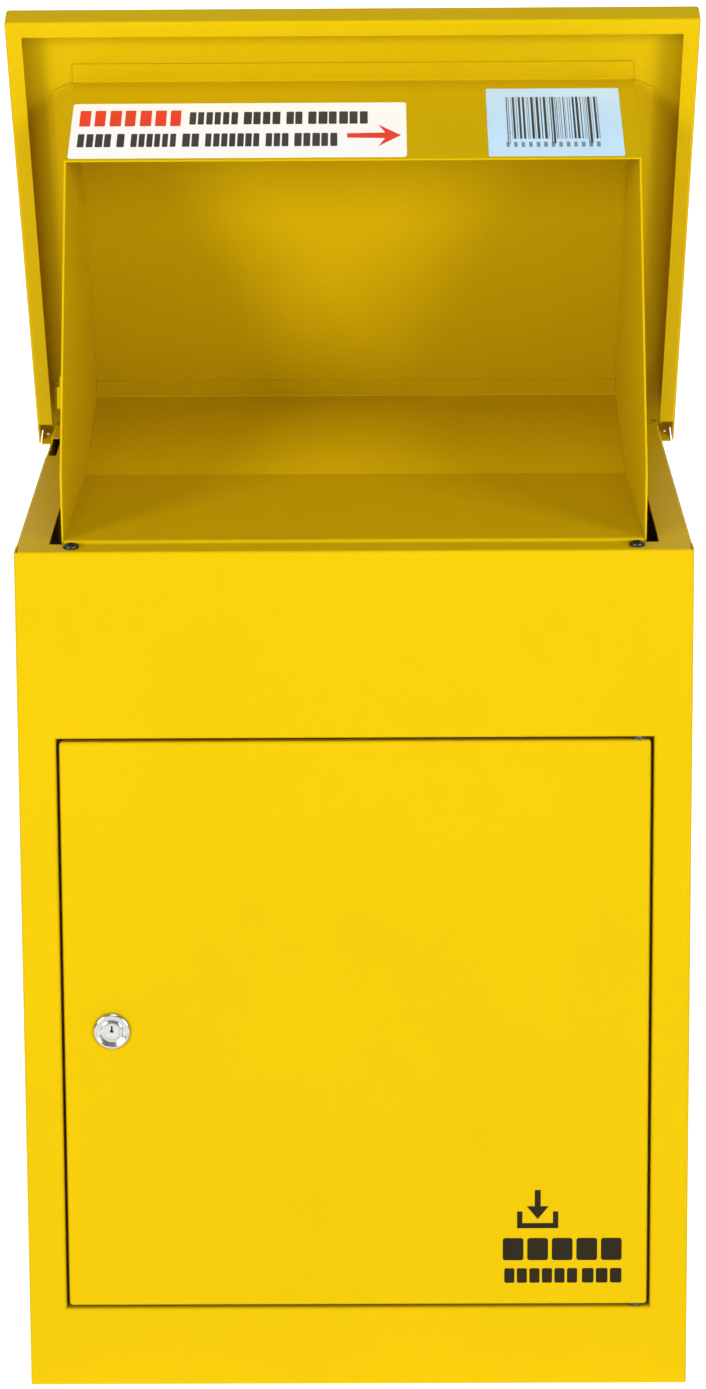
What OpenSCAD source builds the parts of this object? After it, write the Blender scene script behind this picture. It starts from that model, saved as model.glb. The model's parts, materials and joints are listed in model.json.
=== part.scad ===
// Top-loading parcel mailbox in folded, powder-coated sheet steel.
// Lid with a swinging hopper above, flush retrieval door with a cam lock below.
// Millimetres. +Z up, front faces -Y, +X to the right seen from the front.
// Origin: centre of the base underside.

/* [Body] */
// width of the body over the side panels
body_w = 416; // [300:1:520]
// depth of the body, front face to back face
body_d = 296; // [220:1:420]
// height of the front face up to the top edge
front_h = 532; // [420:1:800]
// fall of the top towards the front, degrees
top_slope = 10.6; // [0:0.1:20]
// thickness of the sheet steel
sheet = 1.2; // [0.8:0.1:2]
// inside radius of a fold
fold_r = 0.8; // [0.4:0.1:3]
// width of the top flange along the front
front_flange = 16; // [12:0.5:24]
// width of the top flange along each side
side_flange = 20.3; // [14:0.1:26]
// width of the top flange along the back
rear_flange = 9.6; // [7:0.1:11]

/* [Door] */
// width of the door leaf
door_w = 365; // [250:1:460]
// height of the door leaf
door_h = 362; // [250:1:560]
// gap all round the door
door_gap = 2; // [1:0.1:4]
// distance from the top front edge to the door opening
door_drop = 116; // [90:1:200]
// depth of the door tray
door_depth = 13; // [10:0.5:20]
// hinge axis in from the door's right edge
door_pin_x = 7; // [5:0.5:12]
// hinge axis behind the front face
door_pin_y = 5; // [4:0.5:8]
// diameter of the door pivot pins
door_pin_d = 4; // [3:0.5:6]

/* [Lid] */
// width of the lid over the rims
lid_w = 440; // [320:1:560]
// lid length from the hinge axis to the front rim
lid_l = 319; // [240:1:460]
// overhang of the lid behind the hinge axis
lid_rear = 11; // [6:0.5:16]
// height of the rim over the lid's outer face
lid_rim = 18; // [12:0.5:30]
// width of the return flange round the rim
lid_return = 10.4; // [6:0.1:14]
// lid angle from level, as it stands open
lid_open = 58.5; // [20:0.5:80]
// distance from hinge axis to the lid's inner face
lid_off = 4; // [3.5:0.1:8]

/* [Hopper] */
// width over the two cheeks
hopper_w = 360; // [260:1:440]
// distance of the hood from the hinge axis
hood_s = 266; // [200:1:360]
// depth of the hood below the lid
hood_depth = 96; // [60:1:140]
// largest radius of the hopper about the hinge axis
hopper_r = 287; // [200:1:400]
// width of the mounting flanges on the lid
hopper_flange = 14; // [8:1:20]

/* [Lock] */
// lock axis in from the door's left edge
lock_in = 29.8; // [20:0.1:60]
// height of the lock axis above the base
lock_z = 231; // [100:1:400]
// diameter of the lock's face ring
bezel_d = 23.4; // [16:0.1:30]
// diameter of the turning plug
plug_d = 13.6; // [10:0.1:20]
// reach of the cam from the lock axis
cam_reach = 31; // [20:1:45]

/* [Mounts] */
// floor anchor pitch across
floor_x = 260; // [150:1:340]
// floor anchor pitch front to back
floor_y = 180; // [100:1:220]
// wall anchor pitch across
wall_x = 260; // [150:1:340]
// wall anchor pitch up the back
wall_z = 280; // [150:1:400]
// height of the lower wall anchors
wall_z0 = 150; // [60:1:250]
// diameter of the anchor holes
anchor_d = 8.5; // [6:0.5:12]

/* [Hidden] */
$fn = 48;
y0 = -body_d / 2;
y1 = body_d / 2;
hw = body_w / 2;
rise = body_d * tan(top_slope);
rear_h = front_h + rise;
fold_o = fold_r + sheet;
// lid hinge axis, just behind the top rear edge
hinge_y = y1 + 4;
hinge_z = rear_h + 0.7;
// door opening
open_w = door_w + 2 * door_gap;
open_h = door_h + 2 * door_gap;
open_top = front_h - door_drop;
open_bot = open_top - open_h;
door_top = open_top - door_gap;
door_bot = open_bot + door_gap;
open_flange = 17;
pin_x = door_w / 2 - door_pin_x;
pin_y = y0 + door_pin_y;
lock_x = -door_w / 2 + lock_in;
// lid section levels, measured up from the hinge axis
lid_top = lid_off + sheet;
lid_low = lid_top - lid_rim;
// hopper corners as [distance from hinge along the lid, height from the axis]
ch = hopper_w / 2;
pt_a = [16.8, lid_off];
pt_e = [33.2, -108.8];
ang_d = 68.95;
ang_f = 60.4;
pt_d = [hopper_r * cos(ang_d), -hopper_r * sin(ang_d)];
pt_f = [hopper_r * cos(ang_f), -hopper_r * sin(ang_f)];
pt_c = [hood_s, lid_off - hood_depth];
stop_r = 294;
// piano hinge
knuckle_r = 3.4;
hinge_pin_r = 1.8;
leaf_t = 1.2;
hinge_len = 374;
knuckle_n = 17;
pitch_k = hinge_len / knuckle_n;
run_fit = 0.06;
big = 1000;

yellow = [0.97, 0.80, 0.02];
zinc = [0.72, 0.73, 0.74];
black = [0.08, 0.08, 0.08];

function unit(v) = v / norm(v);
function left_of(v) = [-v[1], v[0]];
function cross2(a, b) = a[0] * b[1] - a[1] * b[0];

// A strip folded along pts; side 1 puts the sheet left of the path, -1 right.
// The path is drawn on one face of the sheet.
module fold2d(pts, side = 1, t = sheet, r = fold_r) {
    n = len(pts);
    dir = [for (i = [0:n - 2]) unit(pts[i + 1] - pts[i])];
    turn = [for (i = [0:n - 2]) i == 0 ? 0 : sign(cross2(dir[i - 1], dir[i]))];
    ang = [for (i = [0:n - 2]) i == 0 ? 0 : acos(dir[i - 1] * dir[i])];
    rad = [for (i = [0:n - 2]) turn[i] == side ? r + t : r];
    cut = [for (i = [0:n - 1]) (i == 0 || i == n - 1) ? 0 : rad[i] * tan(ang[i] / 2)];
    for (i = [0:n - 2]) {
        a = pts[i] + dir[i] * cut[i];
        b = pts[i + 1] - dir[i] * cut[i + 1];
        off = left_of(dir[i]) * side * t;
        polygon([a, b, b + off, a + off]);
    }
    for (i = [1:n - 2]) {
        p = pts[i];
        ta = p - dir[i - 1] * cut[i];
        tb = p + dir[i] * cut[i];
        c = ta + left_of(dir[i - 1]) * turn[i] * rad[i];
        reach = 3 * (r + t);
        intersection() {
            translate(c) difference() {
                circle(r = r + t);
                circle(r = r);
            }
            polygon([c, c + unit(ta - c) * reach, c + unit(p - c) * reach,
                     c + unit(tb - c) * reach]);
        }
    }
}

// Points of a strip folded at slanted angles, as one closed outline.
// out is 0 for the path's own face and 1 for the other face of the sheet.
function slant_face(pts, side, out, t, r, steps) = [
    for (i = [0:len(pts) - 1])
        let (last = len(pts) - 1,
             d0 = i == 0 ? unit(pts[1] - pts[0]) : unit(pts[i] - pts[i - 1]),
             d1 = i == last ? d0 : unit(pts[i + 1] - pts[i]),
             turn = sign(cross2(d0, d1)),
             inside = turn == side,
             own = inside ? r + t : r,
             face = out == 0 ? own : (inside ? r : r + t),
             ang = (i == 0 || i == last) ? 0 : acos(d0 * d1),
             c = pts[i] - d0 * own * tan(ang / 2) + left_of(d0) * turn * own)
        for (k = [0:(ang == 0 ? 0 : steps)])
            let (a = ang == 0 ? 0 : turn * ang * k / steps,
                 n = -left_of(d0) * turn,
                 v = [n[0] * cos(a) - n[1] * sin(a), n[0] * sin(a) + n[1] * cos(a)])
            ang == 0 ? pts[i] + left_of(d0) * side * t * out : c + v * face
];

function reversed(list) = [for (i = [len(list) - 1:-1:0]) list[i]];

module slant_fold(pts, side, t = sheet, r = fold_r, steps = 4) {
    polygon(concat(slant_face(pts, side, 0, t, r, steps),
        reversed(slant_face(pts, side, 1, t, r, steps))));
}

// Extrusions of a 2-D section: drawn in XY and run up Z,
// drawn in YZ and run along X, drawn in XZ and run along Y.
module run_z(z_low, z_high) {
    translate([0, 0, z_low]) linear_extrude(z_high - z_low) children();
}

module run_x(x_low, x_high) {
    translate([x_low, 0, 0]) rotate([90, 0, 90]) linear_extrude(x_high - x_low) children();
}

module run_y(y_low, y_high) {
    translate([0, y_high, 0]) rotate([90, 0, 0]) linear_extrude(y_high - y_low) children();
}

module both_sides() {
    children();
    mirror([1, 0, 0]) children();
}

module box(lo, hi) {
    translate(lo) cube(hi - lo);
}

// Frame lying in the sloped top plane: origin on the front top edge.
module on_top() {
    translate([0, y0, front_h]) rotate([top_slope, 0, 0]) children();
}

// Everything above the sloped top plane.
module above_top(lift = 0) {
    on_top() box([-big / 2, -big / 2, lift], [big / 2, big, big]);
}

// Lid frame: origin on the hinge axis, lid runs to -Y, outside faces +Z.
module lid_pose() {
    translate([0, hinge_y, hinge_z]) rotate([-lid_open, 0, 0]) children();
}

// Pan-head screw pointing down, head seated on z = 0.
module pan_screw(d, head_d, head_h, length) {
    rotate_extrude() polygon([[0, -length], [d / 2, -length], [d / 2, 0], [head_d / 2, 0],
        [head_d / 2, head_h * 0.45], [head_d * 0.42, head_h * 0.8], [head_d * 0.28, head_h], [0, head_h]]);
}

// ---------------------------------------------------------------- body shell

return_d = 14;
lap_d = 13;

module front_panel() {
    color(yellow) difference() {
        union() {
            difference() {
                run_x(-hw + fold_o, hw - fold_o)
                    fold2d([[y0, 0], [y0, front_h],
                        [y0 + front_flange * cos(top_slope), front_h + front_flange * sin(top_slope)]], -1);
                box([-open_w / 2 - fold_o, y0 - 1, open_bot - fold_o],
                    [open_w / 2 + fold_o, y0 + sheet + 1, open_top + fold_o]);
            }
            both_sides() difference() {
                run_z(0, front_h + 10)
                    fold2d([[hw - fold_o - 0.01, y0], [hw, y0], [hw, y0 + return_d]], 1);
                above_top(-0.4);
                box([hw - fold_o - 1, y0 - 1, -1], [hw - fold_o, y0 + sheet + 1, big]);
            }
            both_sides() run_z(open_bot - fold_o, open_top + fold_o)
                fold2d([[open_w / 2 + fold_o + 1, y0], [open_w / 2, y0], [open_w / 2, y0 + open_flange]], -1);
            run_x(-open_w / 2 - fold_o, open_w / 2 + fold_o)
                fold2d([[y0, open_top + fold_o + 1], [y0, open_top], [y0 + open_flange, open_top]], 1);
            run_x(-open_w / 2 - fold_o, open_w / 2 + fold_o)
                fold2d([[y0, open_bot - fold_o - 1], [y0, open_bot], [y0 + open_flange, open_bot]], -1);
        }
        at_stop() translate([0, 0, -sheet - 2]) cylinder(d = 5.4, h = sheet + 4);
        for (z = [open_bot - 6, open_top - 3])
            translate([pin_x, pin_y, z]) cylinder(d = door_pin_d, h = 9);
    }
}

module side_panel() {
    front = y0 + return_d + 0.4;
    difference() {
        union() {
            difference() {
                box([hw - sheet, front, 0], [hw, y1 - fold_o - 12, rear_h + 1]);
                above_top(-4);
            }
            // rear strip runs full height under the corner fold of the back panel
            difference() {
                box([hw - sheet, y1 - fold_o - 12.1, 0], [hw, y1, rear_h + 1]);
                above_top(-4);
            }
            difference() {
                box([hw - 2 * sheet, y0 + 4, 0], [hw - sheet, front + 3, front_h + 20]);
                above_top(-4);
            }
            intersection() {
                on_top() run_y(0, big / 2)
                    fold2d([[hw, -9], [hw, 0], [hw - side_flange, 0]], 1);
                box([0, y0 + front_flange * cos(top_slope) + 0.4, 0], [big, y1 - rear_flange - 0.6, big]);
            }
            intersection() {
                on_top() run_y(0, big / 2) fold2d([[hw, -9], [hw, 0], [hw - 3, 0]], 1);
                box([0, y1 - rear_flange - 0.7, 0], [big, y1 - 0.4, big]);
            }
        }
    }
}

module left_side_panel() {
    // slot in the fold of the left top flange beside the lid friction unit
    color(yellow) difference() {
        mirror([1, 0, 0]) side_panel();
        on_top() box([-hw - 1, 216, -3.4], [-hw + 7.5, 262, 2]);
    }
}

module right_side_panel() {
    color(yellow) side_panel();
}

module back_panel() {
    in = hw - sheet;
    color(yellow) difference() {
        union() {
            run_x(-in + fold_o, in - fold_o)
                fold2d([[y1, 0], [y1, rear_h],
                    [y1 - rear_flange * cos(top_slope), rear_h - rear_flange * sin(top_slope)]], 1);
            both_sides() difference() {
                run_z(0, rear_h - 8)
                    fold2d([[in - fold_o - 0.5, y1], [in, y1], [in, y1 - 12]], -1);
            }
        }
        for (x = [-wall_x / 2, wall_x / 2], z = [wall_z0, wall_z0 + wall_z])
            translate([x, y1 - 4, z]) rotate([-90, 0, 0]) cylinder(d = anchor_d, h = 8);
        for (x = rivet_xs)
            translate([x, y1 - 4, leaf_rivet_z]) rotate([-90, 0, 0]) cylinder(d = 3.3, h = 8);
    }
}

module base_panel() {
    in = hw - 2 * sheet - 0.2;
    fy = y0 + sheet + 0.2;
    by = y1 - sheet - 0.2;
    lip = 14;
    color(yellow) difference() {
        union() {
            run_y(fy + fold_o, by - fold_o)
                fold2d([[-in, lip], [-in, 0], [in, 0], [in, lip]], 1);
            run_x(-in + fold_o, in - fold_o)
                fold2d([[fy, lip], [fy, 0], [by, 0], [by, lip]], 1);
        }
        for (x = [-floor_x / 2, floor_x / 2], y = [-floor_y / 2, floor_y / 2])
            translate([x, y, -1]) cylinder(d = anchor_d, h = 4);
    }
}

// ---------------------------------------------------------------- door frame

stop_lip = 12;
lip_y = y0 + open_flange;

// Stop lips welded behind the door opening.
module door_stop_frame() {
    x_out = open_w / 2 + sheet;
    x_in = open_w / 2 - stop_lip;
    z_in_top = open_top - stop_lip;
    z_in_bot = open_bot + stop_lip;
    color(yellow) difference() {
        box([-x_out, lip_y, open_bot - sheet], [x_out, lip_y + sheet, open_top + sheet]);
        box([-x_in, lip_y - 1, z_in_bot], [x_in, lip_y + sheet + 1, z_in_top]);
    }
}

// Foam strip on the lips, left, top and bottom.
module door_seal() {
    x_out = open_w / 2 - 1;
    y_a = lip_y - 2.6;
    w = 8;
    color(black) {
        box([-x_out, y_a, open_bot + 1], [-x_out + w, lip_y, open_top - 1]);
        box([-x_out + w, y_a, open_top - 1 - w], [x_out - 22, lip_y, open_top - 1]);
        box([-x_out + w, y_a, open_bot + 1], [x_out - 22, lip_y, open_bot + 1 + w]);
    }
}

// Plate behind the left lip that the cam hooks behind.
module strike_plate() {
    color(zinc) box([-open_w / 2 - 0.5, lip_y + sheet, lock_z - 26],
        [-open_w / 2 + stop_lip, lip_y + sheet + 1.5, lock_z + 26]);
}

module door_pins() {
    color(zinc) {
        translate([pin_x, pin_y, door_top - 7]) cylinder(d = door_pin_d - 0.02, h = 7 + door_gap + sheet + 3);
        translate([pin_x, pin_y, open_bot - sheet - 3]) cylinder(d = door_pin_d - 0.02, h = 10 + door_gap + sheet);
    }
}

// ---------------------------------------------------------------- door

module door_panel() {
    w = door_w / 2;
    lip = 9;
    back = y0 + door_depth;
    color(yellow) difference() {
        union() {
            run_z(door_bot + fold_o, door_top - fold_o)
                fold2d([[-w + lip, back], [-w, back], [-w, y0], [w, y0], [w, back], [w - lip, back]], 1);
            run_x(-w + fold_o, w - fold_o)
                fold2d([[back, door_bot], [y0, door_bot], [y0, door_top], [back, door_top]], -1);
            for (x = [-1, 1], z = [door_bot + fold_o, door_top - fold_o]) {
                translate([x * (w - fold_o), y0 + fold_o, z]) sphere(r = fold_o);
                translate([x * (w - fold_o), back, z]) rotate([90, 0, 0])
                    cylinder(r = fold_o, h = door_depth - fold_o);
            }
        }
        translate([lock_x, y0 - 1, lock_z]) rotate([-90, 0, 0]) cylinder(d = 19.2, h = 4);
        for (z = [door_bot - 1, door_top - 4])
            translate([pin_x, pin_y, z]) cylinder(r = 3, h = 5);
    }
}

// Hat-section stiffener spot-welded inside the door leaf.
module door_stiffener() {
    y_in = y0 + sheet;
    deep = 9;
    color(yellow) run_z(door_bot + 16, door_top - 16)
        fold2d([[-42, y_in], [-26, y_in], [-22, y_in + deep], [22, y_in + deep], [26, y_in], [42, y_in]], 1);
}

module door_bushes() {
    color(black) {
        translate([pin_x, pin_y, 0]) difference() {
            union() {
                translate([0, 0, door_top - 4]) cylinder(r = 2.96, h = 4 + 0.2);
                translate([0, 0, door_top]) cylinder(r = 4.2, h = door_gap - 0.5);
                translate([0, 0, door_bot - 0.2]) cylinder(r = 2.96, h = 4 + 0.2);
                translate([0, 0, open_bot + 0.35]) cylinder(r = 4.2, h = door_gap - 0.35);
            }
            translate([0, 0, open_bot]) cylinder(r = door_pin_d / 2 + run_fit, h = open_h);
        }
    }
}

// ---------------------------------------------------------------- cam lock

barrel_d = 18.8;
barrel_l = 19.6;

module at_lock() {
    translate([lock_x, y0, lock_z]) rotate([-90, 0, 0]) children();
}

module lock_body() {
    color(zinc) at_lock() difference() {
        union() {
            rotate_extrude() polygon([[0, 0], [bezel_d / 2, 0], [bezel_d / 2, -0.9],
                [bezel_d / 2 - 0.8, -2.1], [bezel_d / 2 - 2, -2.6], [0, -2.6]]);
            cylinder(d = barrel_d, h = barrel_l);
        }
        translate([0, 0, -3]) cylinder(d = plug_d + 2 * run_fit, h = barrel_l + 6);
        translate([0, 0, -3]) cylinder(d = 17.6, h = 1.1);
    }
}

module lock_plug() {
    color(zinc) at_lock() difference() {
        union() {
            translate([0, 0, -2.4]) cylinder(d = plug_d, h = barrel_l + 2.4);
            translate([0, 0, barrel_l - 0.01]) intersection() {
                cylinder(d = 9, h = 3);
                box([-3.2, -5, 0], [3.2, 5, 4]);
            }
        }
        // keyway
        box([-0.55, -3.7, -3], [0.55, 0.5, 12]);
        box([-1.15, -0.9, -3], [1.15, 0.6, 12]);
        translate([0, 0, barrel_l - 5]) cylinder(d = 4.2, h = 10);
    }
}

module lock_nut() {
    color(zinc) at_lock() translate([0, 0, sheet]) difference() {
        cylinder(d = 27.7, h = 4, $fn = 6);
        translate([0, 0, -1]) cylinder(d = barrel_d, h = 6);
    }
}

module lock_cam() {
    // stands up at rest (unlocked) and turns left behind the strike plate
    color(zinc) at_lock() translate([0, 0, barrel_l + 0.5]) difference() {
        union() {
            cylinder(r = 8, h = 2.4);
            box([-8, -cam_reach + 6, 0], [8, 0, 2.4]);
            translate([0, -cam_reach + 6, 0]) intersection() {
                cylinder(r = 8, h = 2.4);
                box([-8, -6, -1], [8, 0.1, 4]);
            }
        }
        translate([0, 0, -1]) intersection() {
            cylinder(d = 9.1, h = 5);
            box([-3.25, -5, 0], [3.25, 5, 5]);
        }
    }
}

module cam_screw() {
    color(zinc) at_lock() translate([0, 0, barrel_l + 3.3]) {
        cylinder(d = 10, h = 2.8, $fn = 6);
        translate([0, 0, -0.2]) cylinder(d = 11, h = 0.3);
        translate([0, 0, -8]) cylinder(d = 4, h = 9);
    }
}

// ---------------------------------------------------------------- opening stops

stop_x = 173.5;
block_h = 9;

module at_stop() {
    both_sides() translate([stop_x, y0, front_h]) rotate([top_slope, 0, 0])
        translate([0, 9 / cos(top_slope), 0]) children();
}

module flange_screws() {
    color(black) at_stop() pan_screw(5, 9.8, 3.2, 20);
}

module stop_blocks() {
    color(black) at_stop() difference() {
        box([-10, -6.4, -sheet - block_h], [8, 7.6, -sheet]);
        translate([0, 0, -sheet - block_h - 1]) cylinder(d = 5, h = block_h + 2);
    }
}

module flange_nuts() {
    color(zinc) at_stop() translate([0, 0, -sheet - block_h - 4.2]) difference() {
        cylinder(d = 9.2, h = 4.2, $fn = 6);
        translate([0, 0, -1]) cylinder(d = 5, h = 7);
    }
}

// ---------------------------------------------------------------- lid

module lid_panel() {
    w = lid_w / 2;
    f = -lid_l;
    color(yellow) lid_pose() difference() {
        union() {
            // crown with both side rims, and the return flange short of the hinge end
            run_y(f + fold_o, lid_rear)
                fold2d([[-w, lid_low + fold_o], [-w, lid_top], [w, lid_top], [w, lid_low + fold_o]], -1);
            run_y(f + fold_o, -6)
                fold2d([[-w + lid_return, lid_low], [-w, lid_low], [-w, lid_low + 4]], -1);
            run_y(f + fold_o, -6)
                fold2d([[w, lid_low + 4], [w, lid_low], [w - lid_return, lid_low]], -1);
            // front rim
            run_x(-w + fold_o, w - fold_o)
                fold2d([[f + lid_return, lid_low], [f, lid_low], [f, lid_top], [f + 20, lid_top]], -1);
            // welded corners
            both_sides() translate([w - fold_o, f + fold_o, 0]) {
                translate([0, 0, lid_top - fold_o]) sphere(r = fold_o);
                translate([0, 0, lid_low + fold_o]) sphere(r = fold_o);
                translate([0, 0, lid_low + fold_o]) cylinder(r = fold_o, h = lid_rim - 2 * fold_o);
            }
            // corner tabs at the hinge end
            both_sides() run_x(w - 9.6, w - sheet - 0.9)
                fold2d([[lid_rear - 6, lid_top], [lid_rear, lid_top], [lid_rear, lid_low]], -1);
        }
        both_sides() translate([w - 5.6, lid_rear + 1, -1.5]) rotate([90, 0, 0]) cylinder(d = 2.4, h = 4);
    }
}

// ---------------------------------------------------------------- hopper

// Section points are [distance from hinge, height]; the lid runs to -Y.
module hopper_run(x_low, x_high) {
    run_x(x_low, x_high) mirror([1, 0]) children();
}

// Points on a circle about the hinge, between two angles below the lid.
function swing(r, a_from, a_to, steps = 8) =
    [for (k = [0:steps]) let (a = a_from + (a_to - a_from) * k / steps) [r * cos(a), -r * sin(a)]];

// Plate between lid, hood and floor. Its front edge follows the swing of the hopper,
// and a hook below the floor meets the rubber stop when the lid is fully open.
hook_a = ang_d + 2.3;
hook_b = ang_d + 4.8;
hook_in = hopper_r - 17;
dir_ae = unit(pt_e - pt_a);
dir_ed = unit(pt_d - pt_e);
out_ae = -left_of(dir_ae);
out_ed = -left_of(dir_ed);
// the plate stands past the floor line by this much to carry the weld flanges
weld = sheet + 0.4;
pt_eo = pt_e + (out_ae + out_ed) * weld / (1 + out_ae * out_ed);

module cheek_shape() {
    polygon(concat([pt_a + dir_ae * fold_o + out_ae * weld, pt_eo,
            pt_e + (pt_d - pt_e) * 0.86 + out_ed * weld],
        swing(hook_in, ang_d + 1.5, hook_b, 3),
        reversed(swing(stop_r, hook_a, hook_b, 2)),
        reversed(swing(hopper_r - 1.5, ang_d + 0.5, hook_a, 3)),
        reversed(swing(hopper_r, ang_f, ang_d)),
        [pt_c, [hood_s, lid_off - fold_o]]));
}

module hopper_cheek() {
    lid_pose() {
        hopper_run(ch - sheet, ch) cheek_shape();
        // outward flange on the lid, its front end cut at an angle
        difference() {
            run_y(-hood_s, -pt_a[0] - 3)
                fold2d([[ch - sheet, lid_off - 14], [ch - sheet, lid_off], [ch + hopper_flange, lid_off]], -1);
            translate([ch, -hood_s - sheet, lid_off - 4]) rotate([0, 0, 26])
                box([0, -20, 0], [30, 0, 8]);
        }
        // weld flange behind the hood
        box([ch - sheet - 10, -hood_s, pt_c[1] + 14], [ch - sheet, -hood_s + sheet, lid_off - 8]);
        // weld flanges under the floor
        for (seg = [[pt_e, pt_d], [pt_a, pt_e]])
            hopper_run(ch - sheet - 10, ch - 0.3) floor_strip(seg[0], seg[1], 0.05);
    }
}

// Narrow strip lying under the floor sheet between two floor points.
module floor_strip(p, q, from) {
    d = unit(q - p);
    n = left_of(d) * -1;
    a = p + d * 12;
    b = q - d * 30;
    polygon([a + n * from, b + n * from, b + n * sheet, a + n * sheet]);
}

module hopper_left_cheek() {
    color(yellow) mirror([1, 0, 0]) hopper_cheek();
}

module hopper_right_cheek() {
    color(yellow) hopper_cheek();
}

// Small stepped lug on the outside of the left cheek, near its front edge.
lug_r = 254;
lug_angle = 50;

module cheek_lug() {
    color(yellow) lid_pose() rotate([lug_angle, 0, 0]) {
        box([-ch - 3.6, -lug_r - 4, -10], [-ch, -lug_r + 4, 3.5]);
        box([-ch - 2, -lug_r - 4, -10], [-ch, -lug_r + 4, 10]);
    }
}

module hopper_hood() {
    color(yellow) lid_pose() hopper_run(-ch, ch)
        fold2d([[hood_s + hopper_flange, lid_off], [hood_s, lid_off], [hood_s, pt_c[1]]], 1, r = 1);
}

module hopper_floor() {
    // the lip folds down and back under the floor
    lip = pt_d + [-7, 0];
    color(yellow) lid_pose() hopper_run(-ch + sheet + 0.1, ch - sheet - 0.1)
        slant_fold([[pt_a[0] + hopper_flange, lid_off], pt_a, pt_e, pt_d, lip], 1);
}

// ---------------------------------------------------------------- lid hinge

rivet_xs = [for (i = [-3:3]) i * 54];
leaf_low = 17;
leaf_rivet_z = hinge_z - 11;

module hinge_body_leaf() {
    color(zinc) difference() {
        union() {
            box([-hinge_len / 2, y1, hinge_z - leaf_low], [hinge_len / 2, y1 + leaf_t, hinge_z - 4]);
            for (i = [0:2:knuckle_n - 1]) {
                x = -hinge_len / 2 + i * pitch_k;
                translate([x, 0, 0]) {
                    box([0.2, y1, hinge_z - 5], [pitch_k - 0.2, y1 + leaf_t, hinge_z]);
                    translate([0.2, hinge_y, hinge_z]) rotate([0, 90, 0])
                        cylinder(r = knuckle_r, h = pitch_k - 0.4);
                }
            }
        }
        translate([-hinge_len / 2 - 1, hinge_y, hinge_z]) rotate([0, 90, 0])
            cylinder(r = hinge_pin_r, h = hinge_len + 2);
        for (x = rivet_xs)
            translate([x, y1 - 1, leaf_rivet_z]) rotate([-90, 0, 0]) cylinder(d = 3.3, h = 4);
    }
}

module hinge_lid_leaf() {
    color(zinc) lid_pose() difference() {
        union() {
            box([-hinge_len / 2, -15, lid_off - leaf_t], [hinge_len / 2, -4.4, lid_off]);
            for (i = [1:2:knuckle_n - 1]) {
                x = -hinge_len / 2 + i * pitch_k;
                translate([x, 0, 0]) {
                    box([0.2, -5, lid_off - leaf_t], [pitch_k - 0.2, 0, lid_off]);
                    translate([0.2, 0, 0]) rotate([0, 90, 0]) cylinder(r = knuckle_r, h = pitch_k - 0.4);
                }
            }
        }
        translate([-hinge_len / 2 - 1, 0, 0]) rotate([0, 90, 0])
            cylinder(r = hinge_pin_r + run_fit, h = hinge_len + 2);
    }
}

module hinge_pin() {
    color(zinc) translate([-204, hinge_y, hinge_z]) rotate([0, 90, 0])
        cylinder(r = hinge_pin_r - 0.01, h = 204 + hinge_len / 2);
}

module hinge_rivets() {
    color(zinc) for (x = rivet_xs)
        translate([x, y1 + leaf_t, leaf_rivet_z]) rotate([-90, 0, 0]) {
            translate([0, 0, -leaf_t - sheet - 1]) cylinder(d = 3.2, h = leaf_t + sheet + 1);
            cylinder(r = 3, h = 0.7);
            translate([0, 0, 0.7]) cylinder(r = 2.2, h = 0.4);
        }
}

// Friction unit at the left end of the hinge line, which holds the lid open.
friction_x = -205;
friction_w = 13;

module friction_barrel() {
    color(black) difference() {
        union() {
            translate([friction_x, hinge_y, hinge_z]) rotate([0, 90, 0]) cylinder(r = knuckle_r, h = 5.6);
            box([friction_x, y1, hinge_z - leaf_low], [friction_x + 5.6, y1 + leaf_t, hinge_z]);
            box([friction_x, y1, hinge_z - leaf_low], [friction_x + friction_w, y1 + leaf_t, hinge_z - 4.5]);
        }
        translate([friction_x - 1, hinge_y, hinge_z]) rotate([0, 90, 0])
            cylinder(r = hinge_pin_r, h = 10);
    }
}

module friction_arm() {
    color(yellow) lid_pose() difference() {
        union() {
            translate([friction_x + 6, 0, 0]) rotate([0, 90, 0]) cylinder(r = knuckle_r, h = 5.6);
            box([friction_x + 6, -8, lid_off - 1.4], [friction_x + 11.6, 0, lid_off]);
            // pad screwed to the lid, with a bead beyond it
            box([friction_x - 3.5, -27, lid_off - 3.2], [friction_x + 6.4, -8, lid_off]);
            box([friction_x - 2.6, -31.5, lid_off - 2.4], [friction_x + 5.4, -28, lid_off]);
            box([friction_x - 2.6, -28.5, lid_off - 1.4], [friction_x + 10.4, -7, lid_off]);
        }
        translate([friction_x - 1, 0, 0]) rotate([0, 90, 0])
            cylinder(r = hinge_pin_r + run_fit, h = 20);
    }
}

// ---------------------------------------------------------------- labels

label_t = 0.2;

module arrow_label() {
    color([0.97, 0.97, 0.96]) lid_pose() run_label(-178, 34, 65);
}

module code_label() {
    color([0.80, 0.87, 0.96]) lid_pose() run_label(85, 170, 81);
}

// Sticker on the outer face of the hood, between two X positions.
module run_label(x_low, x_high, tall) {
    low = pt_c[1] + 2.2;
    box([x_low, -hood_s - sheet - label_t, low], [x_high, -hood_s - sheet, low + tall]);
}

// ---------------------------------------------------------------- assembly

front_panel();
left_side_panel();
right_side_panel();
back_panel();
base_panel();
door_stop_frame();
door_seal();
strike_plate();
door_pins();
door_panel();
door_stiffener();
door_bushes();
lock_body();
lock_plug();
lock_nut();
lock_cam();
cam_screw();
flange_screws();
stop_blocks();
flange_nuts();
lid_panel();
hopper_left_cheek();
hopper_right_cheek();
cheek_lug();
hopper_hood();
hopper_floor();
hinge_body_leaf();
hinge_lid_leaf();
hinge_pin();
hinge_rivets();
friction_barrel();
friction_arm();
arrow_label();
code_label();
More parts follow.
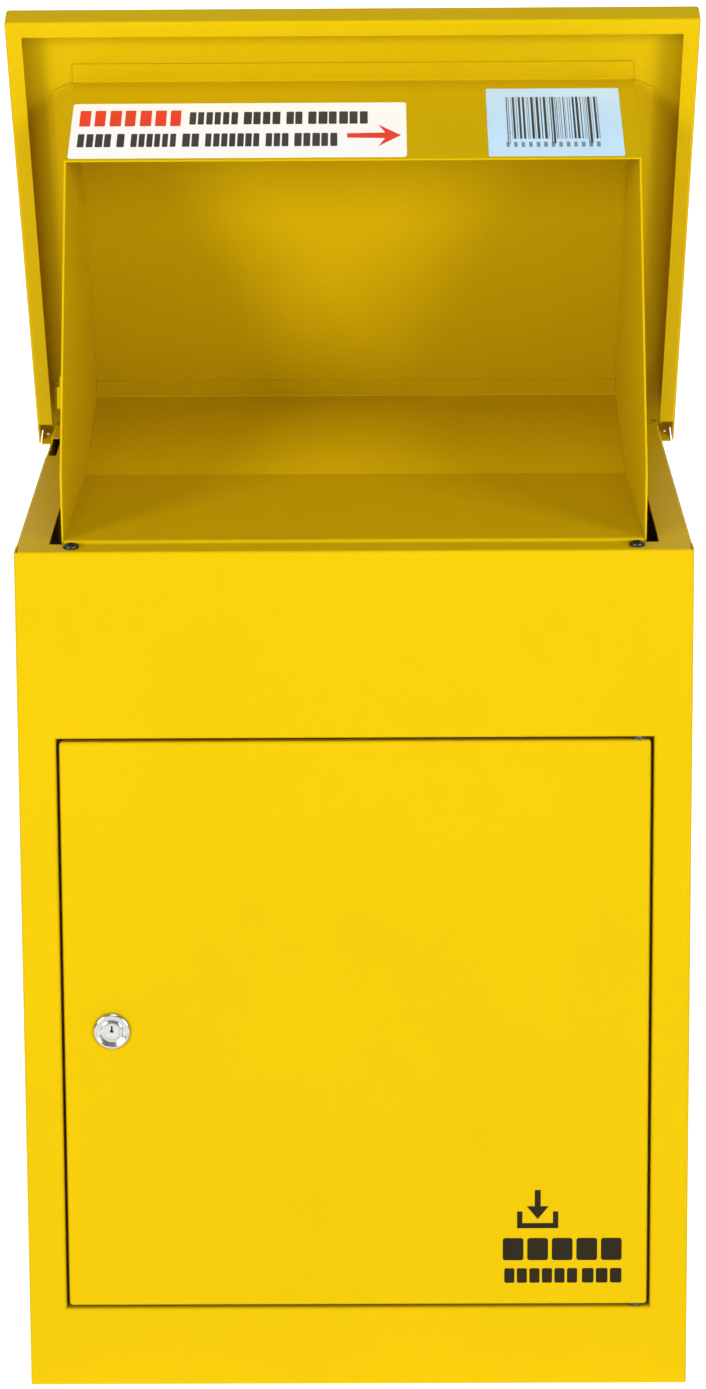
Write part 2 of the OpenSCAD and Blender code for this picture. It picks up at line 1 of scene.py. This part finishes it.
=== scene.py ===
"""Looks of a top-loading parcel mailbox: powder coat, lock, fasteners, labels and studio.

Metres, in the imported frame: origin at the centre of the base underside, +Z up,
front faces -Y, +X to the right seen from the front.
"""

import json
import math
import random

import bmesh
import bpy
from mathutils import Matrix, Vector


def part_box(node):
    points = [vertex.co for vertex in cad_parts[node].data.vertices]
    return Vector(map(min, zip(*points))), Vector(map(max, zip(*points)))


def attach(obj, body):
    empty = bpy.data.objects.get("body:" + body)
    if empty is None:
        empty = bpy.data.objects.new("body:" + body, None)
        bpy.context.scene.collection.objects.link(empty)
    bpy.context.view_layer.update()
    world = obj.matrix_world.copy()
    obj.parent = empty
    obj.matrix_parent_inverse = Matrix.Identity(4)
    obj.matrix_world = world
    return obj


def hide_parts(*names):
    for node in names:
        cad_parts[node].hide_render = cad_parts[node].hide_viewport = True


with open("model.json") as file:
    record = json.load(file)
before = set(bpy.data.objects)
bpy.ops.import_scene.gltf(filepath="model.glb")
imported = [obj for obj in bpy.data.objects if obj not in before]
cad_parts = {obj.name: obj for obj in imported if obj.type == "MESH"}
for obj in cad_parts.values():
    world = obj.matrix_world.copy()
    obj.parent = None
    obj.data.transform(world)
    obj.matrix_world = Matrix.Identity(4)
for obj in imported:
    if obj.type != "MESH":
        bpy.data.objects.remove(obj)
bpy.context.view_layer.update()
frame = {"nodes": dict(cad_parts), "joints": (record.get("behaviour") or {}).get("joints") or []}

MM = 0.001
NODES = frame["nodes"]
JOINTS = {j["name"]: j for j in frame["joints"]}
rng = random.Random(7)


# ------------------------------------------------------------------ places from the frame

def local_box(node, matrix):
    """Lowest and highest corner of a CAD node in a local frame, in mm."""
    inverse = matrix.inverted()
    points = [inverse @ v.co / MM for v in NODES[node].data.vertices]
    low = Vector([min(p[k] for p in points) for k in range(3)])
    high = Vector([max(p[k] for p in points) for k in range(3)])
    return low, high


FRONT_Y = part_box("front_panel")[0].y
HINGE = Vector(JOINTS["lid_hinge"]["pos_m"])
LOCK = Vector(JOINTS["lock_turn"]["pos_m"])
LID_OPEN = math.radians(58.5)
TOP_SLOPE = math.radians(10.6)

# lid frame: origin on the hinge axis, lid runs to -Y, outside faces +Z
LID = Matrix.Translation(HINGE) @ Matrix.Rotation(-LID_OPEN, 4, "X")
# lock frame: origin on the door's face, +Z out of the door, +Y up
AT_LOCK = Matrix.Translation(LOCK) @ Matrix.Rotation(math.radians(90), 4, "X")
# hood frame: origin on the hood's outer face at the lid's inner face,
# +Z out of the hood, +Y towards the lid
HOOD_S = 267.2 * MM
LID_INNER = 4 * MM
UPRIGHT = Matrix.Rotation(math.radians(90), 4, "X")
HOOD_FACE = LID @ Matrix.Translation((0, -HOOD_S, LID_INNER)) @ UPRIGHT
# door frame: origin on the door's face at its lower right corner, +Z out, +X right, +Y up
DOOR_LOW, DOOR_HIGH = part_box("door_panel")
DOOR_FACE = Matrix.Translation((DOOR_HIGH.x, FRONT_Y, DOOR_LOW.z)) @ UPRIGHT
# sloped top frame: origin on the front top edge, +Y to the back, +Z out of the sloped top
FRONT_H = 532 * MM
TOP = Matrix.Translation((0, FRONT_Y, FRONT_H)) @ Matrix.Rotation(TOP_SLOPE, 4, "X")


# ------------------------------------------------------------------ materials

def links(material):
    """Node maker and linker of a material, and its shader node."""
    tree = material.node_tree
    shader = tree.nodes["Principled BSDF"]

    def make(kind, **values):
        node = tree.nodes.new(kind)
        for key, value in values.items():
            if hasattr(node, key):
                setattr(node, key, value)
            else:
                node.inputs[key.replace("_", " ")].default_value = value
        return node

    return make, tree.links.new, shader


def noise(make, link, scale, detail=2.0, roughness=0.5):
    """Noise over the object's own coordinates, in metres."""
    where = make("ShaderNodeTexCoord")
    texture = make("ShaderNodeTexNoise", Scale=scale, Detail=detail, Roughness=roughness)
    link(where.outputs["Object"], texture.inputs["Vector"])
    return texture.outputs["Fac"]


def ramp(make, link, value, low, high, start=0.35, end=0.65):
    """Colour ramp between two colours, over the middle of a noise."""
    node = make("ShaderNodeValToRGB")
    node.color_ramp.elements[0].position = start
    node.color_ramp.elements[1].position = end
    node.color_ramp.elements[0].color = (*low, 1)
    node.color_ramp.elements[1].color = (*high, 1)
    link(value, node.inputs["Fac"])
    return node.outputs["Color"]


def spread(make, link, value, low, high):
    """Noise mapped to a range of values."""
    node = make("ShaderNodeMapRange")
    node.inputs["From Min"].default_value = 0.3
    node.inputs["From Max"].default_value = 0.7
    node.inputs["To Min"].default_value = low
    node.inputs["To Max"].default_value = high
    link(value, node.inputs["Value"])
    return node.outputs["Result"]


def finish(name, colour, rough, metal=0.0, vary=0.03, rough_vary=0.05, grain=900.0, bump=0.05,
           bump_mm=0.05, patch=18.0, specular=0.5, tint=(1, 1, 1), fine=0.0):
    """A surface with patchy colour and gloss, and a fine relief of its own grain size."""
    material = bpy.data.materials.new(name)
    material.use_nodes = True
    make, link, shader = links(material)
    low = [c * (1 - vary) for c in colour]
    high = [min(1.0, c * (1 + vary)) for c in colour]
    patches = noise(make, link, patch, 4.0)
    link(ramp(make, link, patches, low, high), shader.inputs["Base Color"])
    gloss = noise(make, link, patch * 2.7, 3.0)
    link(spread(make, link, gloss, rough - rough_vary, rough + rough_vary), shader.inputs["Roughness"])
    relief = noise(make, link, grain, 2.0)
    if fine:
        second = noise(make, link, fine, 1.0)
        total = make("ShaderNodeMath", operation="ADD")
        link(relief, total.inputs[0])
        link(second, total.inputs[1])
        relief = total.outputs[0]
    bumps = make("ShaderNodeBump")
    bumps.inputs["Strength"].default_value = bump
    bumps.inputs["Distance"].default_value = bump_mm * MM
    link(relief, bumps.inputs["Height"])
    link(bumps.outputs["Normal"], shader.inputs["Normal"])
    shader.inputs["Metallic"].default_value = metal
    shader.inputs["Specular IOR Level"].default_value = specular
    shader.inputs["Specular Tint"].default_value = (*tint, 1)
    return material


YELLOW = finish("yellow_powder_coat", (0.530, 0.356, 0.002), 0.56, vary=0.012, rough_vary=0.04,
                grain=420.0, bump=0.24, bump_mm=0.06, fine=1500.0, patch=9.0, specular=0.20,
                tint=(1.0, 0.70, 0.02))
ZINC = finish("zinc_plate", (0.56, 0.57, 0.58), 0.34, metal=1.0, vary=0.10, rough_vary=0.08, grain=1800.0,
              bump=0.12, bump_mm=0.03, patch=60.0)
CHROME = finish("lock_chrome", (0.52, 0.53, 0.52), 0.2, metal=1.0, vary=0.04, rough_vary=0.04, grain=2600.0,
                bump=0.05, bump_mm=0.01, patch=180.0)
BLACK = finish("black_oxide_steel", (0.030, 0.028, 0.026), 0.36, metal=0.6, vary=0.25, rough_vary=0.08,
               grain=2200.0, bump=0.15, bump_mm=0.03, patch=240.0)
RUBBER = finish("stop_rubber", (0.022, 0.022, 0.023), 0.72, vary=0.2, grain=1600.0, bump=0.3, bump_mm=0.05,
                patch=90.0, specular=0.3)
FOAM = finish("seal_foam", (0.035, 0.035, 0.037), 0.93, vary=0.3, rough_vary=0.03, grain=2600.0, bump=0.9,
              bump_mm=0.25, patch=200.0, specular=0.15)
NYLON = finish("bush_nylon", (0.04, 0.04, 0.042), 0.46, vary=0.1, grain=1500.0, bump=0.1, bump_mm=0.03)
WHITE_FILM = finish("white_label_film", (0.90, 0.91, 0.92), 0.34, vary=0.006, grain=700.0, bump=0.05,
                    bump_mm=0.02, patch=30.0)
BLUE_FILM = finish("pale_blue_label_film", (0.50, 0.73, 0.98), 0.30, vary=0.05, grain=700.0, bump=0.05,
                   bump_mm=0.02, patch=14.0)
RED_INK = finish("red_ink", (0.72, 0.035, 0.022), 0.42, vary=0.06, grain=3000.0, bump=0.05, bump_mm=0.01)
DARK_INK = finish("dark_ink", (0.045, 0.045, 0.048), 0.5, vary=0.15, grain=3000.0, bump=0.05, bump_mm=0.01,
                  specular=0.15)
GREY_INK = finish("grey_ink", (0.20, 0.25, 0.30), 0.42, vary=0.1, grain=3000.0, bump=0.05, bump_mm=0.01)
DECAL = finish("black_vinyl_decal", (0.016, 0.012, 0.004), 0.5, vary=0.1, grain=1400.0, bump=0.06,
               bump_mm=0.02, specular=0.1)

SLOT_LOOKS = {"yellow_coat": YELLOW, "zinc": ZINC, "chrome": CHROME, "black_steel": BLACK, "foam": FOAM,
              "rubber": RUBBER, "nylon": NYLON, "white_film": WHITE_FILM, "blue_film": BLUE_FILM}

for node in NODES.values():
    slot_name = node.material_slots[0].material.name
    for held in node.material_slots:
        held.material = SLOT_LOOKS[slot_name.split(".")[0]]


# ------------------------------------------------------------------ mesh helpers

def smooth(made, degrees=32):
    """Smooth shading that stays sharp over edges steeper than an angle."""
    mesh = bmesh.new()
    mesh.from_mesh(made.data)
    for face in mesh.faces:
        face.smooth = True
    for edge in mesh.edges:
        edge.smooth = len(edge.link_faces) == 2 and edge.calc_face_angle(0) < math.radians(degrees)
    mesh.to_mesh(made.data)
    mesh.free()
    return made


def rounded(made, width_mm, segments=3, angle=35):
    """Rounded edges on a piece or a CAD node."""
    weld = made.modifiers.new("weld", "WELD")
    weld.merge_threshold = 0.002 * MM
    bevel = made.modifiers.new("edge_round", "BEVEL")
    bevel.width = width_mm * MM
    bevel.segments = segments
    bevel.limit_method = "ANGLE"
    bevel.angle_limit = math.radians(angle)
    bevel.harden_normals = True
    return made


def lathe(mesh, profile, segments=96, matrix=Matrix.Identity(4)):
    """Closed solid of revolution about Z, from (radius, height) points in mm."""
    rings = []
    for radius, height in profile:
        ring = []
        for k in range(segments):
            a = 2 * math.pi * k / segments
            point = Vector((radius * math.cos(a), radius * math.sin(a), height))
            ring.append(mesh.verts.new(matrix @ point))
        rings.append(ring)
    for lower, upper in zip(rings, rings[1:] + rings[:1]):
        for k in range(segments):
            mesh.faces.new((lower[k], lower[(k + 1) % segments], upper[(k + 1) % segments], upper[k]))


def arc(cx, cy, radius, start, end, steps):
    """Points of an arc, angles in degrees."""
    points = []
    for k in range(steps + 1):
        a = math.radians(start + (end - start) * k / steps)
        points.append((cx + radius * math.cos(a), cy + radius * math.sin(a)))
    return points


def rounded_rect(x0, y0, x1, y1, radius, steps=6):
    """Outline of a rectangle with round corners."""
    return (arc(x1 - radius, y0 + radius, radius, -90, 0, steps)
            + arc(x1 - radius, y1 - radius, radius, 0, 90, steps)
            + arc(x0 + radius, y1 - radius, radius, 90, 180, steps)
            + arc(x0 + radius, y0 + radius, radius, 180, 270, steps))


def prism(mesh, outline, low, high, matrix=Matrix.Identity(4)):
    """Closed prism from an outline, between two heights."""
    bottom = [mesh.verts.new(matrix @ Vector((x, y, low))) for x, y in outline]
    top = [mesh.verts.new(matrix @ Vector((x, y, high))) for x, y in outline]
    mesh.faces.new(list(reversed(bottom)))
    mesh.faces.new(top)
    count = len(outline)
    for k in range(count):
        mesh.faces.new((bottom[k], bottom[(k + 1) % count], top[(k + 1) % count], top[k]))


TO_METRES = Matrix.Scale(MM, 4)


# ------------------------------------------------------------------ cam lock

def cut(made, outline, low, high):
    """Cuts a prism out of a piece, given in its own mm frame before placing."""
    mesh = bmesh.new()
    prism(mesh, outline, low, high)
    bmesh.ops.recalc_face_normals(mesh, faces=mesh.faces)
    data = bpy.data.meshes.new("cutter")
    mesh.to_mesh(data)
    mesh.free()
    cutter = bpy.data.objects.new("cutter", data)
    bpy.context.scene.collection.objects.link(cutter)
    modifier = made.modifiers.new("cut", "BOOLEAN")
    modifier.operation = "DIFFERENCE"
    modifier.solver = "EXACT"
    modifier.object = cutter
    graph = bpy.context.evaluated_depsgraph_get()
    result = bpy.data.meshes.new_from_object(made.evaluated_get(graph))
    made.modifiers.remove(modifier)
    made.data = result
    bpy.data.objects.remove(cutter)
    return made


def raw(name, mesh):
    """Unplaced object in mm, for cutting."""
    data = bpy.data.meshes.new(name)
    bmesh.ops.remove_doubles(mesh, verts=mesh.verts, dist=1e-6)
    bmesh.ops.recalc_face_normals(mesh, faces=mesh.faces)
    mesh.to_mesh(data)
    mesh.free()
    made = bpy.data.objects.new(name, data)
    bpy.context.scene.collection.objects.link(made)
    return made


def place(made, matrix, material, body, slot, *nodes):
    """Puts a raw piece at its place, on its body, for its CAD nodes."""
    made.data.transform(matrix @ TO_METRES)
    made.data.materials.clear()
    made.data.materials.append(material)
    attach(made, body)
    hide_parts(*nodes)
    return made


def lock_bezel():
    """Domed chrome ring, sloped dish inside it, and a threaded barrel behind the door."""
    bore, barrel, crest = 6.86, 9.0, 9.38
    thread = []
    pitch, turns, first = 1.0, 13, -17.5
    for k in range(turns):
        z = first + k * pitch
        thread += [(barrel, z), (crest, z + pitch * 0.45), (crest, z + pitch * 0.55)]
    dome = arc(9.6, 0.5, 2.05, 0, 76, 10)
    end = -19.6
    profile = ([(bore, end), (barrel - 0.5, end), (barrel, end + 0.5), (barrel, first)] + thread
               + [(barrel, first + turns * pitch), (crest, -2.5), (crest, 0), (11.45, 0), (11.65, 0.2)]
               + dome
               + arc(9.75, 2.2, 0.25, 90, 180, 4) + [(9.2, 2.05), (7.7, 1.45), (7.25, 1.35), (bore, 1.15)])
    mesh = bmesh.new()
    lathe(mesh, profile, 128)
    made = place(raw("lock_bezel", mesh), AT_LOCK, CHROME, "door", "chrome", "lock_body")
    return smooth(made, 34)


def lock_cylinder():
    """Turning plug with a chamfered face, a keyway and an index mark."""
    plug = 6.8
    profile = [(0, -22.59), (4.3, -22.59), (4.5, -22.4), (4.5, -19.6), (plug - 0.2, -19.6), (plug, -19.4)]
    profile += [(plug, 1.4), (plug - 0.12, 1.75), (plug - 0.5, 1.95), (5.3, 2.05), (5.2, 1.9), (5.0, 1.9),
                (4.9, 2.05), (0, 2.1)]
    mesh = bmesh.new()
    lathe(mesh, profile, 128)
    made = raw("lock_cylinder", mesh)
    blade, ward = 0.55, 1.15
    keyway = [(-blade, 3.7), (-blade, 1.1), (-ward, 0.7), (-ward, -0.6), (ward, -0.6), (ward, 0.7),
              (blade, 1.1), (blade, 3.7)]
    cut(made, keyway, -12, 3)
    cut(made, rounded_rect(-0.22, -4.5, 0.22, -3.1, 0.15, 3), 1.75, 3)
    place(made, AT_LOCK, CHROME, "lock_core", "chrome", "lock_plug")
    return smooth(made, 34)


lock_bezel()
lock_cylinder()


# ------------------------------------------------------------------ fasteners

def cross(size, width):
    """Outline of a cross recess."""
    w = width / 2
    return [(w, -size), (w, -w), (size, -w), (size, w), (w, w), (w, size), (-w, size), (-w, w), (-size, w),
            (-size, -w), (-w, -w), (-w, -size)]


def pan_head(name, radius, height, shank, length):
    """Pan-head screw with a cross recess, head seated on z = 0, in mm."""
    crown = arc(0, -radius * 1.25 + height, radius * 1.25, 90, 62, 6)
    profile = [(0, -length), (shank - 0.5, -length), (shank, -length + 0.6), (shank, 0), (radius - 0.15, 0),
               (radius, 0.15), (radius, height * 0.42), (radius - 0.25, height * 0.62)]
    profile += [(r, z) for r, z in reversed(crown) if r < radius - 0.4]
    mesh = bmesh.new()
    lathe(mesh, profile, 72)
    made = raw(name, mesh)
    cut(made, cross(radius * 0.52, 1.1), height - 1.6, height + 1)
    return made


def join(first, *others):
    """Joins raw pieces into the first one."""
    mesh = bmesh.new()
    for made in (first, *others):
        mesh.from_mesh(made.data)
    mesh.to_mesh(first.data)
    mesh.free()
    for made in others:
        bpy.data.objects.remove(made)
    return first


def both(maker, name, x, matrix):
    """The same raw piece at +x and -x in a local frame in mm, joined."""
    right, left = maker(name), maker(name + "_other")
    for made, side, turn in ((right, x, 24), (left, -x, -37)):
        spin = Matrix.Rotation(math.radians(turn), 4, "Z")
        made.data.transform(matrix @ Matrix.Translation((side, 0, 0)) @ spin)
    return join(right, left)


STOP_X = 173.5
STOP_Y = 9 / math.cos(TOP_SLOPE)
screws = both(lambda n: pan_head(n, 4.9, 3.1, 2.48, 20), "flange_screw_pair", STOP_X,
              Matrix.Translation((0, STOP_Y, 0)))
place(screws, TOP, BLACK, "body", "black_steel", "flange_screws")
smooth(screws, 34)


def rivets():
    """Domed rivet heads along the hinge, one for each CAD rivet."""
    low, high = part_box("hinge_rivets")
    count = 7
    pitch = 54
    leaf = 1.2
    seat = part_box("hinge_body_leaf")[0].y + leaf * MM
    made = []
    for k in range(count):
        mesh = bmesh.new()
        dome = arc(0, -2.2, 3.3, 90, 48, 7)
        profile = ([(0, -3.2), (1.6, -3.2), (1.6, 0), (2.9, 0), (3.0, 0.12)]
                   + [(r, z) for r, z in reversed(dome) if r < 2.9])
        lathe(mesh, profile, 40)
        made.append(raw("hinge_rivet_heads" if k == 0 else f"rivet_{k}", mesh))
        x = (k - (count - 1) / 2) * pitch
        made[-1].data.transform(Matrix.Translation((x, 0, 0)))
    row = join(*made)
    outward = Matrix.Rotation(math.radians(-90), 4, "X")
    at = Matrix.Translation((0, seat, (low.z + high.z) / 2)) @ outward
    place(row, at, ZINC, "body", "zinc", "hinge_rivets")
    return smooth(row, 40)


rivets()


# ------------------------------------------------------------------ labels on the hood

FILM = 0.2
INK = 0.025
PRINT = (FILM - 0.02, FILM + INK)


def film(name, node, corner, material, slot):
    """Sticker with round corners on the hood, where its CAD node is."""
    low, high = local_box(node, HOOD_FACE)
    mesh = bmesh.new()
    prism(mesh, rounded_rect(low.x, low.y, high.x, high.y, corner), 0, FILM)
    made = raw(name, mesh)
    place(made, HOOD_FACE, material, "lid", slot, node)
    rounded(made, 0.05, 2)
    return low, high


def glyphs(mesh, x, y, tall, wide, count, gap):
    """A row of plain rounded blocks, filling a width, that stands for a printed word."""
    step = (wide + gap) / count
    for k in range(count):
        w = (step - gap) * rng.uniform(0.86, 1.0)
        start = x + k * step
        prism(mesh, rounded_rect(start, y, start + w, y + tall, min(0.7, w * 0.4), 3), *PRINT)


def arrow_marks():
    """Red heading blocks, two lines of dark blocks and a red arrow."""
    low, high = film("arrow_label_film", "arrow_label", 2.2, WHITE_FILM, "white_film")
    left, top = low.x, high.y
    tall = high.y - low.y
    red = bmesh.new()
    glyphs(red, left + 5.0, top - 0.42 * tall, 0.29 * tall, 65.2, 7, 1.9)
    # arrow: shaft and barbed head
    ax, ay, rise = left + 174.5, top - 0.61 * tall, 0.20 * tall
    tail, neck, barb, tip = 0.2 * rise, 0.26 * rise, 19.5, 34
    prism(red, [(ax, ay - tail), (ax + 24, ay - neck), (ax + barb, ay - rise), (ax + tip, ay),
                (ax + barb, ay + rise), (ax + 24, ay + neck), (ax, ay + tail)], *PRINT)
    place_print("arrow_label_red_marks", red, RED_INK)
    dark = bmesh.new()
    for x, wide, count in ((74.6, 31.0, 6), (109.0, 23.4, 4), (136.0, 10.4, 2), (149.8, 38.4, 6)):
        glyphs(dark, left + x, top - 0.395 * tall, 0.23 * tall, wide, count, 0.85)
    for x, wide, count in ((5.0, 21.6, 4), (29.8, 5.0, 1), (38.6, 28.8, 6), (71.0, 10.8, 2),
                           (85.4, 34.4, 7), (123.4, 14.4, 3), (141.4, 27.4, 5)):
        glyphs(dark, left + x, top - 0.80 * tall, 0.24 * tall, wide, count, 0.85)
    place_print("arrow_label_dark_marks", dark, DARK_INK)


def place_print(name, mesh, material):
    """Printed marks, a thin closed layer on a sticker."""
    made = raw(name, mesh)
    made.data.transform(HOOD_FACE @ TO_METRES)
    made.data.materials.append(material)
    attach(made, "lid")
    return made


def code_marks():
    """Bars of random widths with plain blocks below, which hold no code."""
    low, high = film("code_label_film", "code_label", 0.8, BLUE_FILM, "blue_film")
    left, top, tall = low.x, high.y, high.y - low.y
    dark, grey = bmesh.new(), bmesh.new()
    x, end = left + 12.5, left + 71.5
    guard = {0, 1, 15, 16, 30, 31}
    k = 0
    while x < end:
        wide = rng.choice((0.42, 0.42, 0.62, 0.62, 1.35, 1.6))
        gap = rng.choice((0.5, 0.6, 0.9, 1.2))
        low_y = top - (0.82 if k in guard else 0.75) * tall
        ink = dark if wide > 1 or k % 3 == 0 else grey
        wide = min(wide, end - x)
        high_y = top - 0.13 * tall
        prism(ink, [(x, low_y), (x + wide, low_y), (x + wide, high_y), (x, high_y)], *PRINT)
        x += wide + gap
        k += 1
    glyphs(grey, left + 11.4, top - 0.87 * tall, 0.075 * tall, 59.0, 13, 2.3)
    place_print("code_label_dark_bars", dark, DARK_INK)
    place_print("code_label_grey_bars", grey, GREY_INK)


arrow_marks()
code_marks()


# ------------------------------------------------------------------ emblem on the door

def door_emblem():
    """Generic deposit sign: an arrow into a tray over two rows of plain blocks."""
    mesh = bmesh.new()
    thick = 0.06

    def add(outline):
        prism(mesh, outline, -0.01, thick)

    def row(x, y, tall, wide, count, gap, radius):
        step = (wide + gap) / count
        for k in range(count):
            start = x + k * step
            add(rounded_rect(start, y, start + step - gap, y + tall, radius, 4))

    row(-91.0, 29.0, 14.6, 75.0, 5, 2.4, 1.6)
    row(-90.0, 14.2, 9.6, 46.0, 6, 1.5, 1.1)
    row(-41.0, 14.2, 9.6, 25.0, 3, 1.5, 1.1)
    # tray
    cx, cy = -69.0, 50.0
    add([(cx - 13, cy), (cx + 13, cy), (cx + 13, cy + 11), (cx + 9.6, cy + 11), (cx + 9.6, cy + 3.4),
         (cx - 9.6, cy + 3.4), (cx - 9.6, cy + 11), (cx - 13, cy + 11)])
    # arrow down into it
    add([(cx - 1.9, cy + 25), (cx - 1.9, cy + 14.4), (cx - 7, cy + 14.4), (cx, cy + 6), (cx + 7, cy + 14.4),
         (cx + 1.9, cy + 14.4), (cx + 1.9, cy + 25)])
    made = raw("door_emblem", mesh)
    made.data.transform(DOOR_FACE @ TO_METRES)
    made.data.materials.append(DECAL)
    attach(made, "door")


door_emblem()


# ------------------------------------------------------------------ carried-over nodes

EDGE_ROUNDS = {"stop_blocks": 0.6, "door_seal": 0.9, "lock_cam": 0.25, "lock_nut": 0.3, "strike_plate": 0.3,
               "friction_barrel": 0.3, "friction_arm": 0.3, "cheek_lug": 0.5}
for name, width in EDGE_ROUNDS.items():
    rounded(NODES[name], width)


# ------------------------------------------------------------------ studio

GLOW_FRONT, GLOW_BACK = 0.42, 0.85
GLOW_START_Y, GLOW_END_Y = -0.45, 0.05
AIR_GLOW = 0.24
LAMP_AWAY = 2.6


def studio():
    """Pale floor that curves up behind the object and glows most behind it."""
    mesh = bmesh.new()
    size, height = 14.0, 7.0
    bend = 1.6
    below = -0.5 * MM
    profile = [(-size / 2, 0.0)] + [(size / 2 - bend + x, bend + z) for x, z in arc(0, 0, bend, -90, 0, 16)]
    profile.append((size / 2, height))
    rows = []
    for y, z in profile:
        rows.append([mesh.verts.new((x, y, z + below)) for x in (-size / 2, size / 2)])
    for lower, upper in zip(rows, rows[1:]):
        mesh.faces.new((lower[0], lower[1], upper[1], upper[0]))
    data = bpy.data.meshes.new("studio_floor")
    mesh.to_mesh(data)
    mesh.free()
    for face in data.polygons:
        face.use_smooth = True
    floor = bpy.data.objects.new("studio_floor", data)
    bpy.context.scene.collection.objects.link(floor)
    paper = bpy.data.materials.new("studio_paper")
    paper.use_nodes = True
    shader = paper.node_tree.nodes["Principled BSDF"]
    shader.inputs["Base Color"].default_value = (0.9, 0.9, 0.9, 1)
    shader.inputs["Roughness"].default_value = 0.9
    shader.inputs["Emission Color"].default_value = (1, 1, 1, 1)
    # the paper glows brightest behind the object, and less in front of it
    make, link, shader = links(paper)
    where = make("ShaderNodeTexCoord")
    split = make("ShaderNodeSeparateXYZ")
    glow = make("ShaderNodeMapRange", interpolation_type="SMOOTHSTEP")
    glow.inputs["From Min"].default_value = GLOW_START_Y
    glow.inputs["From Max"].default_value = GLOW_END_Y
    glow.inputs["To Min"].default_value = GLOW_FRONT
    glow.inputs["To Max"].default_value = GLOW_BACK
    link(where.outputs["Object"], split.inputs["Vector"])
    link(split.outputs["Y"], glow.inputs["Value"])
    link(glow.outputs["Result"], shader.inputs["Emission Strength"])
    data.materials.append(paper)


def soft_box(name, azimuth, elevation, distance, width, height, power, target=(0, 0, 0.55)):
    """Area light round the object; azimuth 0 is in front, positive to the right."""
    a, e = math.radians(azimuth), math.radians(elevation)
    back = Vector((math.sin(a) * math.cos(e), -math.cos(a) * math.cos(e), math.sin(e)))
    data = bpy.data.lights.new(name, "AREA")
    data.shape = "RECTANGLE"
    data.size = width
    data.size_y = height
    data.energy = power
    lamp = bpy.data.objects.new(name, data)
    lamp.location = Vector(target) + back * distance
    lamp.rotation_euler = back.to_track_quat("Z", "Y").to_euler()
    bpy.context.scene.collection.objects.link(lamp)


def camera():
    """Camera in front, a little above the hopper and tilted down."""
    position = Vector((14.4, -2239.2, 781.8)) * MM
    yaw, pitch, roll = -0.00735, 0.16051, -0.00563
    long_side, focal = 1389, 3447.0
    forward = Vector((math.sin(yaw) * math.cos(pitch), math.cos(yaw) * math.cos(pitch), -math.sin(pitch)))
    level = Vector((math.cos(yaw), -math.sin(yaw), 0))
    above = level.cross(forward)
    right = math.cos(roll) * level + math.sin(roll) * above
    up = math.cos(roll) * above - math.sin(roll) * level
    data = bpy.data.cameras.new("camera")
    data.sensor_width = 36
    data.lens = focal * data.sensor_width / long_side
    data.clip_start, data.clip_end = 0.05, 60
    made = bpy.data.objects.new("camera", data)
    turn = Matrix((right, up, -forward)).transposed().to_4x4()
    made.matrix_world = Matrix.Translation(position) @ turn
    bpy.context.scene.collection.objects.link(made)
    bpy.context.scene.camera = made


studio()
soft_box("soft_box_left", -36, 9, LAMP_AWAY, 0.7, 0.8, 40)
soft_box("soft_box_right", 40, 9, LAMP_AWAY, 0.8, 0.8, 37)
soft_box("soft_box_top", 0, 52, LAMP_AWAY, 1.0, 0.8, 16)
camera()

world = bpy.data.worlds.new("studio_air")
world.use_nodes = True
world.node_tree.nodes["Background"].inputs["Color"].default_value = (1, 1, 1, 1)
world.node_tree.nodes["Background"].inputs["Strength"].default_value = AIR_GLOW
bpy.context.scene.world = world
bpy.context.scene.view_settings.view_transform = "Standard"
